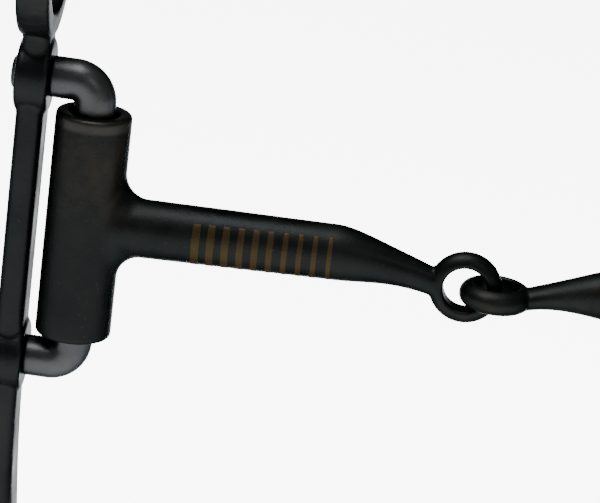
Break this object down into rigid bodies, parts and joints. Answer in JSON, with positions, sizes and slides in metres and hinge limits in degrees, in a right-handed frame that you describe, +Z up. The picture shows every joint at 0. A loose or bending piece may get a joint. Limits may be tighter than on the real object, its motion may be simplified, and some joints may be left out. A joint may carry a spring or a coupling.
{
  "type": "curb bit",
  "caption": "Loose-cheek curb bit with a jointed mouthpiece of two linked arms inlaid with copper, swivelling swept shanks and hanging rein rings.",
  "frame": {"origin": "middle of the joint between the two mouth arms, at the height of the left arm's eye", "axes": "+Z up along the cheeks towards the headstall eyes, +X from the left cheek to the right, +Y the way the shanks sweep back"},
  "size_m": [0.2084, 0.0548, 0.2124],
  "materials": {
    "mouth_iron": "oil-blackened forged iron, satin",
    "cheek_steel": "oil-blackened forged steel, satin",
    "spindle_steel": "oil-blackened steel bar, polished by wear in the sleeve",
    "ring_steel": "oil-blackened steel wire, satin",
    "copper": "tarnished copper, brown"
  },
  "bodies": {
    "left_arm": {"left_mouth_arm": "mouth_iron", "left_copper_bar_1": "copper", "left_copper_bar_2": "copper", "left_copper_bar_3": "copper", "left_copper_bar_4": "copper", "left_copper_bar_5": "copper", "left_copper_bar_6": "copper", "left_copper_bar_7": "copper", "left_copper_bar_8": "copper", "left_copper_bar_9": "copper", "left_copper_bar_10": "copper"},
    "right_arm": {"right_mouth_arm": "mouth_iron", "right_copper_bar_1": "copper", "right_copper_bar_2": "copper", "right_copper_bar_3": "copper", "right_copper_bar_4": "copper", "right_copper_bar_5": "copper", "right_copper_bar_6": "copper", "right_copper_bar_7": "copper", "right_copper_bar_8": "copper", "right_copper_bar_9": "copper", "right_copper_bar_10": "copper"},
    "left_cheek": {"left_cheek": "cheek_steel", "left_spindle": "spindle_steel"},
    "right_cheek": {"right_cheek": "cheek_steel", "right_spindle": "spindle_steel"},
    "left_rein_ring": {"left_rein_ring": "ring_steel"},
    "right_rein_ring": {"right_rein_ring": "ring_steel"}
  },
  "joints": [
    {"name": "mouth_fold", "type": "hinge", "parent": "left_arm", "child": "right_arm", "pos_m": [0.0028, 0, -0.00075], "axis": [0, 0, 1], "range_deg": [-110, 110]},
    {"name": "left_cheek_swivel", "type": "hinge", "parent": "left_arm", "child": "left_cheek", "pos_m": [-0.0726, 0, 0.002], "axis": [0, 0, 1], "range_deg": [-100, 100]},
    {"name": "right_cheek_swivel", "type": "hinge", "parent": "right_arm", "child": "right_cheek", "pos_m": [0.0726, 0, 0.00125], "axis": [0, 0, -1], "range_deg": [-100, 100]},
    {"name": "left_rein_ring_swing", "type": "hinge", "parent": "left_cheek", "child": "left_rein_ring", "pos_m": [-0.0838, 0.031, -0.1081], "axis": [1, 0, 0], "range_deg": [-100, 100]},
    {"name": "right_rein_ring_swing", "type": "hinge", "parent": "right_cheek", "child": "right_rein_ring", "pos_m": [0.0838, 0.031, -0.10885], "axis": [1, 0, 0], "range_deg": [-100, 100]}
  ]
}
